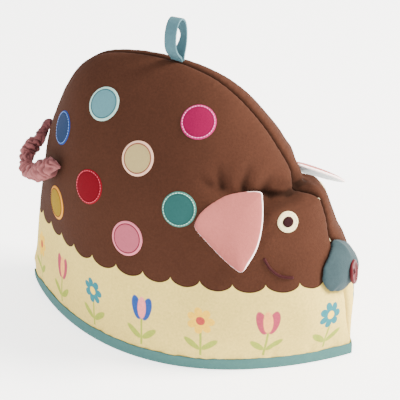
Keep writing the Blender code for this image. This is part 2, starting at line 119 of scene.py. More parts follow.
def smoothLine(points, steps, closed=False):
    # a centripetal curve through the given points
    points = [np.array(p, float) for p in points]
    if closed:
        points = [points[-1]] + points + points[:2]
    else:
        points = [2 * points[0] - points[1]] + points + [2 * points[-1] - points[-2]]
    line = []
    for p0, p1, p2, p3 in zip(points, points[1:], points[2:], points[3:]):
        t1 = np.linalg.norm(p1 - p0) ** 0.5
        t2 = t1 + np.linalg.norm(p2 - p1) ** 0.5
        t3 = t2 + np.linalg.norm(p3 - p2) ** 0.5
        for t in np.linspace(t1, t2, steps, endpoint=False):
            a = p0 + (p1 - p0) * t / t1
            b = p1 + (p2 - p1) * (t - t1) / (t2 - t1)
            c = p2 + (p3 - p2) * (t - t2) / (t3 - t2)
            d = a + (b - a) * t / t2
            e = b + (c - b) * (t - t1) / (t3 - t1)
            line.append(d + (e - d) * (t - t1) / (t2 - t1))
    if not closed:
        line.append(points[-2])
    return np.array(line)


def evenSteps(line, count, closed=False):
    if closed:
        line = np.vstack([line, line[:1]])
    along = np.concatenate([[0], np.cumsum(np.linalg.norm(np.diff(line, axis=0), axis=1))])
    at = np.linspace(0, along[-1], count + 1 if closed else count)
    spread = np.array([np.interp(at, along, line[:, k]) for k in range(line.shape[1])]).T
    return spread[:-1] if closed else spread


def smoothStep(t):
    t = np.clip(t, 0, 1)
    return t * t * (3 - 2 * t)


def rise(values, start, reach):
    # 0 up to the start, and 1 a reach past it
    return smoothStep((values - start) / reach)


def fall(values, end, reach):
    # 1 up to a reach before the end, and 0 from the end on
    return smoothStep((end - values) / reach)


def bell(values, reach):
    return np.exp(-(values / reach) ** 2)


def noiseAt(points, scale):
    return np.array([noise.noise(Vector(p) * scale) for p in points])


def turnOutward(piece):
    # makes all faces of a closed piece look outwards
    onlySelect(piece)
    bpy.ops.object.mode_set(mode="EDIT")
    bpy.ops.mesh.select_all(action="SELECT")
    bpy.ops.mesh.normals_make_consistent(inside=False)
    bpy.ops.object.mode_set(mode="OBJECT")


def tint(red, green, blue):
    # a screen colour, 0 to 255, as a linear one
    shares = [part / 255 for part in (red, green, blue)]
    return tuple(s / 12.92 if s < 0.0431 else ((s + 0.055) / 1.055) ** 2.4 for s in shares)


def shaded(colour, share):
    # a darker or lighter colour
    return tuple(min(part * share, 1) for part in colour)


class Wire:
    # a socket in a material, so that shader maths reads as sums
    def __init__(self, tree, outlet):
        self.tree, self.outlet = tree, outlet

    def make(self, kind, inlets, outlet=0, **settings):
        made = self.tree.nodes.new("ShaderNode" + kind)
        for key, value in settings.items():
            if key == "stops":
                ramp = made.color_ramp
                ramp.interpolation = "CONSTANT"
                for position, colour in value[1:]:
                    ramp.elements.new(position).color = (*colour, 1)
                ramp.elements[0].color = (*value[0][1], 1)
                ramp.elements.remove(ramp.elements[-1])
            else:
                setattr(made, key, value)
        for key, value in inlets.items():
            inlet = made.inputs[key]
            if isinstance(value, Wire):
                self.tree.links.new(value.outlet, inlet)
            elif inlet.type == "RGBA":
                inlet.default_value = (*value, 1)
            else:
                inlet.default_value = value
        return Wire(self.tree, made.outputs[outlet])

    def maths(self, operation, other=0.0):
        return self.make("Math", {0: self, 1: other}, operation=operation)

    def __add__(self, other):
        return self.maths("ADD", other)

    def __sub__(self, other):
        return self.maths("SUBTRACT", other)

    def __rsub__(self, other):
        return self.make("Math", {0: other, 1: self}, operation="SUBTRACT")

    def __mul__(self, other):
        return self.maths("MULTIPLY", other)

    def __truediv__(self, other):
        return self.maths("DIVIDE", other)

    def __mod__(self, other):
        return self.maths("FLOORED_MODULO", other)

    def __pow__(self, other):
        return self.maths("POWER", other)

    def __abs__(self):
        return self.maths("ABSOLUTE")

    __radd__ = __add__
    __rmul__ = __mul__

    def largest(self, other):
        return self.maths("MAXIMUM", other)

    def between(self, start, end):
        # 0 at start and 1 at end, with a soft curve
        return self.make("MapRange", {"Value": self, "From Min": start, "From Max": end},
                         interpolation_type="SMOOTHSTEP")

    def colour(self, colourAt0, colourAt1):
        return self.make("Mix", {0: self, 6: colourAt0, 7: colourAt1}, outlet=2, data_type="RGBA")

    def parts(self):
        split = self.make("SeparateXYZ", {0: self})
        return [Wire(self.tree, outlet) for outlet in split.outlet.node.outputs]

    def cloudy(self, scale, detail=2.0):
        return self.make("TexNoise", {"Vector": self, "Scale": scale, "Detail": detail})


def newFinish(name, roughness, **constants):
    made = bpy.data.materials.new(name)
    made.use_nodes = True
    shader = made.node_tree.nodes["Principled BSDF"]
    shader.inputs["Roughness"].default_value = roughness
    for key, value in constants.items():
        inlet = shader.inputs[key.replace("_", " ")]
        inlet.default_value = (*value, 1) if inlet.type == "RGBA" else value
    place = made.node_tree.nodes.new("ShaderNodeTexCoord")
    return made, shader, Wire(made.node_tree, place.outputs["Object"])


def connect(shader, inlet, wire):
    wire.tree.links.new(wire.outlet, shader.inputs[inlet])


def bumped(shader, height, distance, strength=1.0):
    made = height.make("Bump", {"Height": height, "Distance": distance, "Strength": strength})
    connect(shader, "Normal", made)


clothLook = {
    "thread": 0.62 * mm, "twillSlant": 0.8, "warpShare": 0.5, "weftShare": 0.35,
    "slubScale": 520.0, "wornScale": 34.0, "detail": 3.0, "slubShade": 2.4,
    "twillHeight": 0.15, "yarnHeight": 0.15, "slubHeight": 1.6, "relief": 0.12 * mm, "strength": 0.8,
    "roughness": 0.92, "sheenRoughness": 0.45, "specular": 0.06,
}


def clothFinish(name, colourOf, across, mottle=0.10, sheen=0.02):
    # woven cloth: across picks the two directions of its threads from the place
    look = clothLook
    made, shader, place = newFinish(name, look["roughness"], Specular_IOR_Level=look["specular"],
                                    Sheen_Weight=sheen, Sheen_Roughness=look["sheenRoughness"])
    warp, weft = across(place)
    turns = 2 * pi / look["thread"]
    twill = ((warp + weft * look["twillSlant"]) * turns).maths("SINE")
    yarn = (warp * turns).maths("SINE") * look["warpShare"] + (weft * turns).maths("SINE") * look["weftShare"]
    slubs = place.cloudy(look["slubScale"], look["detail"])
    # a slow, random mottle of tone
    worn = place.cloudy(look["wornScale"], look["detail"])
    shade = 1 + (slubs - 0.5) * mottle * look["slubShade"] + (worn - 0.5) * mottle
    colour = shade.make("VectorMath", {0: colourOf(place), "Scale": shade}, operation="SCALE")
    connect(shader, "Base Color", colour)
    height = twill * look["twillHeight"] + yarn * look["yarnHeight"] + slubs * look["slubHeight"]
    bumped(shader, height, look["relief"], look["strength"])
    return made


def plain(colour):
    return lambda place: place.make("Mix", {0: 0.0, 6: colour, 7: colour}, outlet=2, data_type="RGBA")


def sideOn(place):
    x, _, z = place.parts()
    return x, z


def headOn(place):
    _, y, z = place.parts()
    return y, z


def slantwise(place):
    x, y, z = place.parts()
    return x, y + z


def readMap(place, name):
    return place.make("UVMap", {}, uv_map=name).parts()[:2]


def declare(piece, slot, finish, *nodes):
    piece.data.materials.clear()
    piece.data.materials.append(finish)
    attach(piece, "root")
    if nodes:
        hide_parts(*nodes)


# The two padded side panels

panelLook = {
    # a pair is a start or an end and a reach, for rise and fall
    "turnHeight": 10 * mm, "unevenScale": 60,
    "seamPucker": 0.2 * mm, "seamPuckerStep": 8.5 * mm, "seamPuckerUneven": 5,
    "seamPuckerAt": 4 * mm, "seamPuckerReach": 11 * mm, "seamPuckerFoot": (20 * mm, 20 * mm),
    "seamSink": 2.0 * mm, "seamSinkReach": 2.6 * mm, "seamSinkFoot": (16 * mm, 16 * mm),
    "hemPucker": 0.45 * mm, "hemPuckerStep": 15 * mm, "hemPuckerUneven": 6,
    "hemPuckerTop": (34 * mm, 20 * mm), "hemPuckerFoot": (3 * mm, 9 * mm),
    "wadding": 0.8 * mm, "waddingSize": 38 * mm,
    "waddingSide": (2 * mm, 12 * mm), "waddingFoot": (12 * mm, 20 * mm),
    "proud": 0.45 * mm, "mostProud": 2 * mm, "mostSunk": 2.3 * mm, "stillSide": (0.2 * mm, 2 * mm),
    "snoutSink": 1.0 * mm, "snoutReach": 2.2 * mm,
    # telling the outer face: spots in the hollow, a step off the cloth, and bands beside the seam
    "hollowSpots": [(0, 60), (0, 170), (60, 110), (100, 95), (-90, 100)], "stepOff": 0.3 * mm,
    "seamBand": 1 * mm, "outerBand": 4 * mm,
    # where the halves meet: how deep a point lies, and how far it stays from the middle
    "meetSide": 0.7 * mm, "meetLean": 0.55, "meetGap": 0.005 * mm,
    "easeRounds": 4, "easeFull": 1.2, "easeReach": 7 * mm, "easeFoot": 14 * mm,
    # the dark of seam and folds
    # painted shade along the seam, in its groove, in the folds and round the snout's base
    "seamLineReach": 1.3 * mm, "seamLineFoot": (70 * mm, 16 * mm),
    "seamDark": 1.1, "grooveDark": 0.25, "creaseDark": 0.42, "snoutDark": 0.7,
    # the hem, measured for the print
    "hemBand": (8 * mm, 14 * mm), "hemSteps": 91, "hemWindow": 0.06,
    "flatCut": (0.372, 0.252), "flatArea": 0.0716,
}
# x1, z1, x2, z2, width, depth at both ends, in mm on the side of the body
panelCreases = [
    (105.0, 139.6, 98.0, 138.6, 1.7, 0.9, 2.0),
    (98.0, 138.6, 86.0, 138.2, 1.9, 2.0, 2.8),
    (86.0, 138.2, 70.0, 142.0, 2.2, 2.8, 1.6),
    (82.0, 142.0, 86.0, 155.0, 2.4, 1.4, 0.1),
    (70.0, 146.0, 71.5, 166.0, 2.6, 2.2, 0.1),
    (63.0, 147.0, 61.5, 162.0, 2.2, -0.9, -0.1),
    (56.0, 148.0, 50.0, 166.0, 2.8, 2.0, 0.1),
    (76.5, 147.0, 79.0, 161.0, 2.2, -0.9, -0.1),
    (47.0, 150.0, 37.0, 158.0, 2.6, 1.0, 0.1),
    (104.0, 137.0, 90.0, 129.0, 4.0, 0.8, 0.1),
    (98.0, 143.0, 88.0, 149.0, 3.0, 0.9, 0.1),
    (-146.0, 20.0, -134.0, 34.0, 5.0, -1.8, -0.4),
]


def layMap(piece, name, u, v):
    # two values for each vertex, for the material to read
    corner = np.empty(len(piece.data.loops), int)
    piece.data.loops.foreach_get("vertex_index", corner)
    layer = piece.data.uv_layers.get(name) or piece.data.uv_layers.new(name=name)
    layer.data.foreach_set("uv", np.stack([u[corner], v[corner]], axis=1).ravel())


def addBall(name, sides, rings):
    bpy.ops.object.select_all(action="DESELECT")
    bpy.ops.mesh.primitive_uv_sphere_add(segments=sides, ring_count=rings, radius=1)
    piece = bpy.context.object
    piece.name = name
    return piece, getPoints(piece)


def shapeWithMap(piece, points, name, u, v):
    setPoints(piece, points)
    piece.data.uv_layers[0].name = name
    layMap(piece, name, u, v)


def creaseDepth(points):
    flat = points[:, [0, 2]] / mm - [bodyX / mm, 0]
    push = np.zeros(len(points))
    for x1, z1, x2, z2, width, depth1, depth2 in panelCreases:
        start = np.array([x1, z1])
        run = np.array([x2, z2]) - start
        t = np.clip((flat - start) @ run / (run @ run), 0, 1)
        away = np.linalg.norm(flat - start - t[:, None] * run, axis=1)
        push += (depth1 + (depth2 - depth1) * t) * mm * np.exp(-(away / width) ** 2)
    return np.clip(push, -panelLook["mostProud"], panelLook["mostSunk"])


def layPrintMap(piece, name):
    # distance along the hem from the nose, and height, in metres, for the printed border
    points = getPoints(piece)
    turn = np.arctan2(np.abs(points[:, 1]), points[:, 0] - bodyX)
    bottom, top = panelLook["hemBand"]
    low = (points[:, 2] > bottom) & (points[:, 2] < top)
    order = np.argsort(turn[low])
    turns = turn[low][order]
    reach = np.hypot(points[low, 0] - bodyX, points[low, 1])[order]
    steps = np.linspace(0, pi, panelLook["hemSteps"])
    radius = np.array([reach[np.abs(turns - step) < panelLook["hemWindow"]].max() for step in steps])
    along = np.concatenate([[0], np.cumsum(np.hypot(np.diff(radius), radius[1:] * np.diff(steps)))])
    u = np.interp(turn, steps, along)
    layMap(piece, name, u, points[:, 2])
    return along[-1]


def wallOf(piece):
    piece.data.calc_loop_triangles()
    corners = [tuple(t.vertices) for t in piece.data.loop_triangles]
    return BVHTree.FromPolygons([tuple(v.co) for v in piece.data.vertices], corners)


def isOutside(wall, point, normal, side):
    # on the outer face if the wall hides every spot of the hollow from a point just off it
    if abs(point.y) < panelLook["seamBand"]:
        return True
    start = point + normal * panelLook["stepOff"]
    for x, z in panelLook["hollowSpots"]:
        way = inBody(x, side, z) - start
        if wall.ray_cast(start, way.normalized(), way.length)[0] is None:
            return False
    return True


def easeSeam(piece, points, outward):
    # rolls the cloth softly over into the seam
    look = panelLook
    group = piece.vertex_groups.new(name="seam")
    share = smoothStep(look["easeFull"] - np.abs(points[:, 1]) / look["easeReach"])
    share = np.where(outward & (points[:, 2] > look["easeFoot"]), share, 0)
    for k in np.flatnonzero(share):
        group.add([int(k)], share[k], "REPLACE")
    applyModifier(piece, "SMOOTH", factor=0.5, iterations=look["easeRounds"], vertex_group="seam")
    piece.vertex_groups.remove(piece.vertex_groups["seam"])


def makePanel(node, name, side):
    look = panelLook
    piece = softCopy(node, name)
    subdivideSmooth(piece, 2)
    points = getPoints(piece)
    normals = getPoints(piece, "normal")
    ahead, beside, height = points[:, 0] - bodyX, np.abs(points[:, 1]), points[:, 2]
    wall = wallOf(piece)
    outward = np.array([isOutside(wall, Vector(p), Vector(n), side) for p, n in zip(points, normals)])
    radial = np.stack([ahead, np.zeros(len(points)), height - look["turnHeight"]], axis=1)
    away = np.linalg.norm(radial, axis=1)
    radial /= away[:, None]
    lean = np.sum(normals * radial, axis=1)
    outward |= (beside < look["outerBand"]) & (lean > 0)
    uneven = noiseAt(points, look["unevenScale"])

    creases = creaseDepth(points)
    along = np.arctan2(height - look["turnHeight"], ahead) * np.hypot(height - look["turnHeight"], ahead)
    nearSeam = bell(beside - look["seamPuckerAt"], look["seamPuckerReach"])
    nearSeam *= rise(height, *look["seamPuckerFoot"])
    waves = np.sin(2 * pi * along / look["seamPuckerStep"] + look["seamPuckerUneven"] * uneven)
    push = creases + look["seamPucker"] * nearSeam * waves
    nearHem = fall(height, *look["hemPuckerTop"]) * rise(height, *look["hemPuckerFoot"])
    waves = np.sin(2 * pi * ahead / look["hemPuckerStep"] + look["hemPuckerUneven"] * uneven)
    push += look["hemPucker"] * nearHem * waves
    quilt = np.array([noise.noise(Vector(p) / look["waddingSize"]) for p in points])
    push += look["wadding"] * quilt * rise(beside, *look["waddingSide"]) * rise(height, *look["waddingFoot"])
    underSnout = bell(np.array([snoutWall.find_nearest(Vector(p))[3] for p in points]), look["snoutReach"])
    push += look["snoutSink"] * underSnout - look["proud"]
    push = np.where(outward, push, 0) * rise(beside, *look["stillSide"])

    moved = points - normals * push[:, None]
    groove = bell(beside, look["seamSinkReach"]) * rise(height, *look["seamSinkFoot"])
    moved -= radial * (np.where(outward, look["seamSink"], 0) * groove)[:, None]
    # behind the rolled edge the two halves meet face to face
    deep = (beside < look["meetSide"]) & (lean < look["meetLean"])
    moved[deep, 1] = side * look["meetGap"]
    setPoints(piece, moved)
    easeSeam(piece, points, outward & ~deep)
    shadeSmooth(piece)

    # painted shade: darker along the seam line, in its groove, in the folds and round the snout's base; the
    # map's second value marks the inner face
    seamLine = bell(beside, look["seamLineReach"]) * rise(height, *look["seamLineFoot"])
    dark = look["seamDark"] * seamLine + look["grooveDark"] * groove
    dark += look["creaseDark"] * creases / mm + look["snoutDark"] * underSnout
    layMap(piece, "worn", np.clip(dark, 0, 1), np.where(outward, 0.0, 1.0))
    return piece


printLook = {
    "brown": tint(58, 34, 24), "cream": tint(198, 174, 94), "edgeLine": tint(36, 16, 12),
    # the colour and share of the painted shade from the panel's map
    "backing": tint(196, 186, 166), "worn": (0.004, 0.002, 0.001), "paintedShadeShare": 0.75,
    "edgeTop": 78 * mm, "scallopDrop": 7 * mm, "scallop": 26 * mm, "scallopRound": 0.5, "edgeWidth": 0.9 * mm,
    "flowerStep": 52 * mm, "leaf": tint(136, 146, 56),
    "stemHalf": 0.9 * mm, "stemFoot": (12 * mm, 13 * mm), "stemTop": (44 * mm, 43 * mm),
    # ovals: the middle, the two half widths and the turn in degrees
    "leafOval": (7 * mm, 23 * mm, 8 * mm, 2.7 * mm, 38),
    "cupOval": (4.6 * mm, 44.5 * mm, 4.4 * mm, 10.5 * mm, -14),
    "tongueOval": (0.0, 45 * mm, 3.9 * mm, 9.5 * mm),
    "daisyHeight": 44 * mm, "daisyReach": 11.5 * mm, "daisyHeart": 3.6 * mm,
    "daisyTurns": 3.5, "petalDepth": 0.42, "petalRound": 0.6,
    "petals": [tint(42, 104, 112), tint(150, 58, 76), tint(214, 168, 44), tint(38, 66, 124)],
    "hearts": [tint(224, 184, 60), tint(214, 150, 84), tint(160, 62, 54), tint(206, 118, 116)],
}
soft = 0.35 * mm        # how soft the edge of a printed shape is


def oval(x, y, centreX, centreY, halfX, halfY, degrees=0.0):
    # 1 inside an oval and 0 outside
    c, s = cos(radians(degrees)), sin(radians(degrees))
    dx, dy = x - centreX, y - centreY
    a = (dx * c + dy * s) / halfX
    b = (dy * c - dx * s) / halfY
    away = (a * a + b * b) ** 0.5
    return away.between(1 + soft / min(halfX, halfY), 1 - soft / min(halfX, halfY))


def printedColour(place):
    look = printLook
    u, v = readMap(place, "print")
    cell = (u / look["flowerStep"]).maths("FLOOR")
    x = u - (cell + 0.5) * look["flowerStep"]
    side = abs(x)
    odd = cell % 2
    pick = (cell % 4) / 4 + 0.1
    petalColour, heartColour = (
        pick.make("ValToRGB", {0: pick}, stops=[(k / 4, colour) for k, colour in enumerate(look[colours])])
        for colours in ("petals", "hearts"))

    stem = side.between(look["stemHalf"] + soft, look["stemHalf"] - soft)
    stem = stem * v.between(*look["stemFoot"]) * v.between(*look["stemTop"])
    green = stem.largest(oval(side, v, *look["leafOval"]))

    dy = v - look["daisyHeight"]
    reach = (x * x + dy * dy) ** 0.5
    turn = dy.make("Math", {0: dy, 1: x}, operation="ARCTAN2")
    petal = abs((turn * look["daisyTurns"]).maths("SINE")) ** look["petalRound"]
    edge = (petal * look["petalDepth"] + (1 - look["petalDepth"])) * look["daisyReach"]
    daisy = (reach - edge).between(soft, -soft) * (1 - odd)
    heart = reach.between(look["daisyHeart"] + soft, look["daisyHeart"] - soft) * (1 - odd)
    cup = oval(side, v, *look["cupOval"]) * odd
    tongue = oval(side, v, *look["tongueOval"]) * odd

    colour = green.colour(look["cream"], look["leaf"])
    colour = daisy.largest(cup).colour(colour, petalColour)
    colour = heart.largest(tongue).colour(colour, heartColour)
    wave = abs((u * (pi / look["scallop"])).maths("SINE")) ** look["scallopRound"]
    above = v - (look["edgeTop"] - wave * look["scallopDrop"])
    onLine = above.between(-look["edgeWidth"] - soft, -look["edgeWidth"] + soft)
    colour = onLine.colour(colour, look["edgeLine"])
    colour = above.between(-soft, soft).colour(colour, look["brown"])
    # the painted shade in the seam, the folds and round the snout, and the backing on the inner face
    worn, inside = readMap(place, "worn")
    colour = inside.between(0.4, 0.6).colour(colour, look["backing"])
    return (worn * look["paintedShadeShare"]).colour(colour, look["worn"])


print("panels")
snoutWall = wallOf(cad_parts["snout"])
panels = {-1: makePanel("panel_near", "panelNear", -1), 1: makePanel("panel_far", "panelFar", 1)}
panelCloth = clothFinish("printedTwill", printedColour, sideOn, mottle=0.2, sheen=0.0)
for side, node in ((-1, "panel_near"), (1, "panel_far")):
    hemHalf = layPrintMap(panels[side], "print")
    declare(panels[side], "printed_cloth", panelCloth, node)
print("half of the hem", round(hemHalf, 4))
surfaces = {side: wallOf(panel) for side, panel in panels.items()}
# how the cloth is felt for: from the side, from above a point, and round about it
feel = {"fromSide": 200, "fromAbove": 15 * mm, "around": [(8, 0), (-8, 0), (0, 8), (0, -8)]}


def onPanel(side, x, z):
    # the cloth's outer face at a place in the side view, with its normal
    start = inBody(x, side * feel["fromSide"], z)
    place, normal, _, _ = surfaces[side].ray_cast(start, Vector((0, -side, 0)))
    return place, normal


def nearPanel(side, point, normal):
    # the cloth's face under a point that stands off it
    place, faceNormal, _, _ = surfaces[side].ray_cast(point + normal * feel["fromAbove"], -normal)
    if place is None:
        place, faceNormal, _, _ = surfaces[side].find_nearest(point)
    return place, faceNormal


def tangents(side, x, z):
    # a flat frame on the cloth: its middle, forwards, up and out
    middle, normal = onPanel(side, x, z)
    for dx, dz in feel["around"]:
        around, aroundNormal = onPanel(side, x + dx, z + dz)
        if around is not None:
            normal = normal + aroundNormal
    normal.normalize()
    up = (Vector((0, 0, 1)) - normal * normal.z).normalized()
    return middle, up.cross(normal) * -side, up, normal


# Thread: one stitch is modelled, and copied along each line of sewing

bpy.ops.object.select_all(action="DESELECT")
bpy.ops.mesh.primitive_uv_sphere_add(segments=6, ring_count=6, radius=1, rotation=(0, pi / 2, 0))
stitchModel = bpy.context.object
settle(stitchModel)
stitchPoints = getPoints(stitchModel)
stitchFaces = [tuple(face.vertices) for face in stitchModel.data.polygons]
bpy.data.objects.remove(stitchModel)


stitchSag = 0.25        # how far a stitch's ends dip, as a share of its thickness


def sewn(name, places):
    # places holds the middle, direction, outward direction, length and thickness of each stitch
    points, faces = [], []
    for middle, along, out, length, thick in places:
        along = along.normalized()
        across = out.cross(along).normalized()
        out = along.cross(across)
        turned = np.array([along * (length / 2), across * (thick / 2), out * (thick / 2)])
        sag = -stitchSag * thick * stitchPoints[:, :1] ** 2 * np.array(out)
        faces += [tuple(k + len(points) * len(stitchPoints) for k in face) for face in stitchFaces]
        points.append(stitchPoints @ turned + sag + np.array(middle))
    mesh = bpy.data.meshes.new(name)
    mesh.from_pydata(np.vstack(points).tolist(), [], faces)
    piece = bpy.data.objects.new(name, mesh)
    bpy.context.scene.collection.objects.link(piece)
    shadeSmooth(piece)
    return piece


threadLook = {
    "roughness": 0.8, "specular": 0.15, "fibreScale": 1800.0, "dark": 0.75, "light": 1.2,
    "relief": 0.1 * mm, "strength": 0.6,
}


def threadFinish(name, colour):
    look = threadLook
    made, shader, place = newFinish(name, look["roughness"], Specular_IOR_Level=look["specular"])
    fibre = place.cloudy(look["fibreScale"])
    connect(shader, "Base Color", fibre.colour(shaded(colour, look["dark"]), shaded(colour, look["light"])))
    bumped(shader, fibre, look["relief"], look["strength"])
    return made


# The appliqué rounds

roundLook = {"sides": 56, "rings": 20, "spread": 0.9, "flatTop": 7, "rim": 0.999}
dotLook = {
    "radius": 14.2 * mm, "lift": 0.75 * mm, "bury": 0.3 * mm, "border": 2.4 * mm, "mottle": 0.08,
    "borderSoft": 0.3 * mm, "groove": (0.7 * mm, 0.3 * mm), "grooveDark": 0.75, "lineShade": 0.7,
    "stitches": 34, "stitchLength": 2.0 * mm, "stitchThick": 0.55 * mm, "stitchLift": 0.02 * mm,
    "runningIn": 1.3 * mm, "closeLength": 1.25, "closeThick": 0.8,
}
# name, x, z, cloth, border, thread, whether the stitching is an open running stitch
dots = [
    ("Mustard", -98, 100, tint(123, 98, 15), tint(191, 129, 43), tint(96, 48, 10), False),
    ("Blue", -98, 162, tint(25, 43, 72), tint(25, 57, 123), tint(120, 154, 210), True),
    ("Pink", -14, 100, tint(152, 77, 91), tint(191, 106, 120), tint(96, 20, 40), False),
    ("CreamLow", -14, 162, tint(157, 139, 95), tint(205, 163, 139), tint(110, 50, 36), False),
    ("Red", -56, 131, tint(91, 5, 18), tint(113, 11, 25), tint(206, 84, 100), True),
    ("Sky", -56, 193, tint(81, 122, 129), tint(150, 184, 175), tint(30, 76, 84), False),
    ("Teal", 28, 131, tint(36, 75, 73), tint(54, 104, 95), tint(176, 222, 206), True),
    ("Magenta", 28, 193, tint(113, 8, 54), tint(150, 34, 88), tint(236, 140, 184), True),
]


def layRound(name, side, x, z, radius, lift, bury):
    # a soft disc that follows the cloth under it, with its own flat map
    look = roundLook
    middle, ahead, up, normal = tangents(side, x, z)
    piece, ball = addBall(name, look["sides"], look["rings"])
    points = np.empty_like(ball)
    maps = np.empty((len(ball), 2))
    for k, (a, b, c) in enumerate(ball):
        share = min((a * a + b * b) ** 0.5, 1)
        scale = radius * share ** look["spread"] / max(share, 1e-6)
        maps[k] = (a * scale, b * scale)
        spot = middle + ahead * (a * scale) + up * (b * scale)
        ground, faceNormal = nearPanel(side, spot, normal)
        height = lift * (1 - share ** look["flatTop"]) ** 0.5 if c > 0 else -bury
        points[k] = ground + faceNormal * (height if share < look["rim"] else 0)
    shapeWithMap(piece, points, "cut", maps[:, 0], maps[:, 1])
    if side > 0:
        turnOutward(piece)
    shadeSmooth(piece)
    return piece


def ringOfStitches(name, side, x, z, radius, count, length, thick, lift):
    middle, ahead, up, normal = tangents(side, x, z)
    places = []
    for k in range(count):
        turn = 2 * pi * k / count
        spot = middle + ahead * (cos(turn) * radius) + up * (sin(turn) * radius)
        ground, faceNormal = nearPanel(side, spot, normal)
        along = up * cos(turn) - ahead * sin(turn)
        places.append((ground + faceNormal * lift, along, faceNormal, length, thick))
    return sewn(name, places)


def dotColour(cloth, border, line):
    def colourOf(place):
        look = dotLook
        u, v = readMap(place, "cut")
        reach = (u * u + v * v) ** 0.5
        edge = look["radius"] - look["border"]
        outer = reach.between(edge - look["borderSoft"], edge + look["borderSoft"])
        # a line along the stitching: the thread's colour for close stitching, and for running stitches the
        # cloth painted darker, as painted shade in the stitched groove
        groove = abs(reach - edge).between(*look["groove"])
        return (groove * look["grooveDark"]).colour(outer.colour(cloth, border), line)
    return colourOf


print("dots")
look = dotLook
for dotName, x, z, clothColour, borderColour, threadColour, running in dots:
    # running stitches: the cloth painted darker along the stitched line, as painted shade
    line = shaded(clothColour, look["lineShade"]) if running else threadColour
    finish = clothFinish("dot" + dotName, dotColour(clothColour, borderColour, line),
                         lambda place: readMap(place, "cut"), look["mottle"])
    thread = threadFinish("thread" + dotName, threadColour)
    ringRadius = look["radius"] - (look["runningIn"] if running else look["border"])
    length = look["stitchLength"] * (1 if running else look["closeLength"])
    thick = look["stitchThick"] * (1 if running else look["closeThick"])
    for side, where in ((-1, "Near"), (1, "Far")):
        dot = layRound("dot" + dotName + where, side, x, z, look["radius"], look["lift"], look["bury"])
        declare(dot, "printed_cloth", finish)
        ring = ringOfStitches("ring" + dotName + where, side, x, z, ringRadius, look["stitches"],
                              length, thick, look["lift"] + look["stitchLift"])
        declare(ring, "printed_cloth", thread)
        2 * look["radius"]
        2 * look["radius"]
        pi * look["radius"] ** 2

# The face: a plain felt eye and one stitched arc for the mouth

faceLook = {
    "eye": (106.0, 122.5), "eyeRadius": 8.5 * mm, "eyeLift": 0.9 * mm, "eyeBury": 0.3 * mm,
    "stitches": 18, "stitchIn": 1.3 * mm, "stitchLength": 1.7 * mm, "stitchThick": 0.5 * mm,
    "stitchLift": 0.95 * mm,
    "pupilRadius": 4.6 * mm, "pupilLift": 1.9 * mm, "pupilBury": -0.6 * mm, "pupilCut": 10 * mm,
    "felt": tint(222, 208, 158), "dark": tint(34, 12, 15), "mottle": 0.14, "sheen": 0.1,
    "mouthThread": tint(46, 11, 14), "feltThread": tint(214, 200, 160),
    "mouth": [(96.0, 97.0), (101.0, 89.0), (108.0, 83.5), (117.0, 81.5)],
    "mouthSteps": 40, "mouthLift": 0.35 * mm, "mouthOverlap": 3, "mouthThick": 2.5 * mm,
}
print("face")
look = faceLook
feltFinish = clothFinish("eyeFelt", plain(look["felt"]), sideOn, look["mottle"], look["sheen"])
pupilFinish = clothFinish("pupilFelt", plain(look["dark"]), sideOn, look["mottle"], look["sheen"])
mouthThread = threadFinish("mouthThread", look["mouthThread"])
feltThread = threadFinish("feltThread", look["feltThread"])
for side, where in ((-1, "Near"), (1, "Far")):
    eye = layRound("eye" + where, side, *look["eye"], look["eyeRadius"], look["eyeLift"], look["eyeBury"])
    declare(eye, "printed_cloth", feltFinish)
    ring = ringOfStitches("eyeRing" + where, side, *look["eye"], look["eyeRadius"] - look["stitchIn"],
                          look["stitches"], look["stitchLength"], look["stitchThick"], look["stitchLift"])
    declare(ring, "printed_cloth", feltThread)
    2 * look["eyeRadius"]
    2 * look["eyeRadius"]
    pi * look["eyeRadius"] ** 2
    pupil = layRound("pupil" + where, side, *look["eye"], look["pupilRadius"], look["pupilLift"],
                     look["pupilBury"])
    declare(pupil, "printed_cloth", pupilFinish)
    pi * look["pupilRadius"] ** 2
    arc = evenSteps(smoothLine(look["mouth"], 12), look["mouthSteps"])
    places = []
    for (x1, z1), (x2, z2) in zip(arc, arc[1:]):
        a, normalA = onPanel(side, x1, z1)
        b, normalB = onPanel(side, x2, z2)
        out = (normalA + normalB).normalized()
        middle = (a + b) / 2 + out * look["mouthLift"]
        places.append((middle, b - a, out, (b - a).length * look["mouthOverlap"], look["mouthThick"]))
    mouth = sewn("mouth" + where, places)
    declare(mouth, "printed_cloth", mouthThread)

# Loose ends of pale thread, where the seam starts above the snout and turns at the forehead

tuftLook = {
    "lift": 0.4 * mm, "thick": 0.55 * mm,
    # each end: its place and its way, in mm on the body, and its length
    "threadSnout": [
        ((129.8, -0.9, 98.4), (-0.5, -0.9, 0.9), 2.4 * mm),
        ((130.8, -0.6, 98.0), (0.9, -0.5, -0.3), 2.0 * mm),
        ((129.0, -1.6, 99.4), (0.2, -0.7, 1.0), 1.8 * mm),
    ],
    "threadBrow": [
        ((119.6, -0.8, 135.2), (-0.8, -0.7, 0.3), 2.0 * mm),
        ((120.6, -0.4, 134.4), (0.7, -0.4, -0.8), 1.7 * mm),
    ],
}
for tuftName in ("threadSnout", "threadBrow"):
    places = []
    for spot, way, length in tuftLook[tuftName]:
        start, out, _, _ = surfaces[-1].find_nearest(inBody(*spot))
        places.append((start + out * tuftLook["lift"], Vector(way), out, length, tuftLook["thick"]))
    tuft = sewn(tuftName, places)
    declare(tuft, "printed_cloth", feltThread)

# The binding round the hem

bindingLook = {
    "bevel": 0.45 * mm, "colour": tint(62, 97, 95), "skew": 0.4, "flatCut": (0.026, 0.76),
    # the top edge's slow and tight waves, in turns round the hem and in height
    "high": (2 * mm, 7 * mm), "slowScale": 7, "slowLift": 0.9, "tightScale": 30, "tightLift": 0.5,
    "wave": 0.35 * mm, "waveReach": 120 * mm,
    "tailEnd": (-128 * mm, 16 * mm), "tailDip": 0.45,
}


def roundHem(place):
    x, y, z = place.parts()
    return x + y * bindingLook["skew"], z


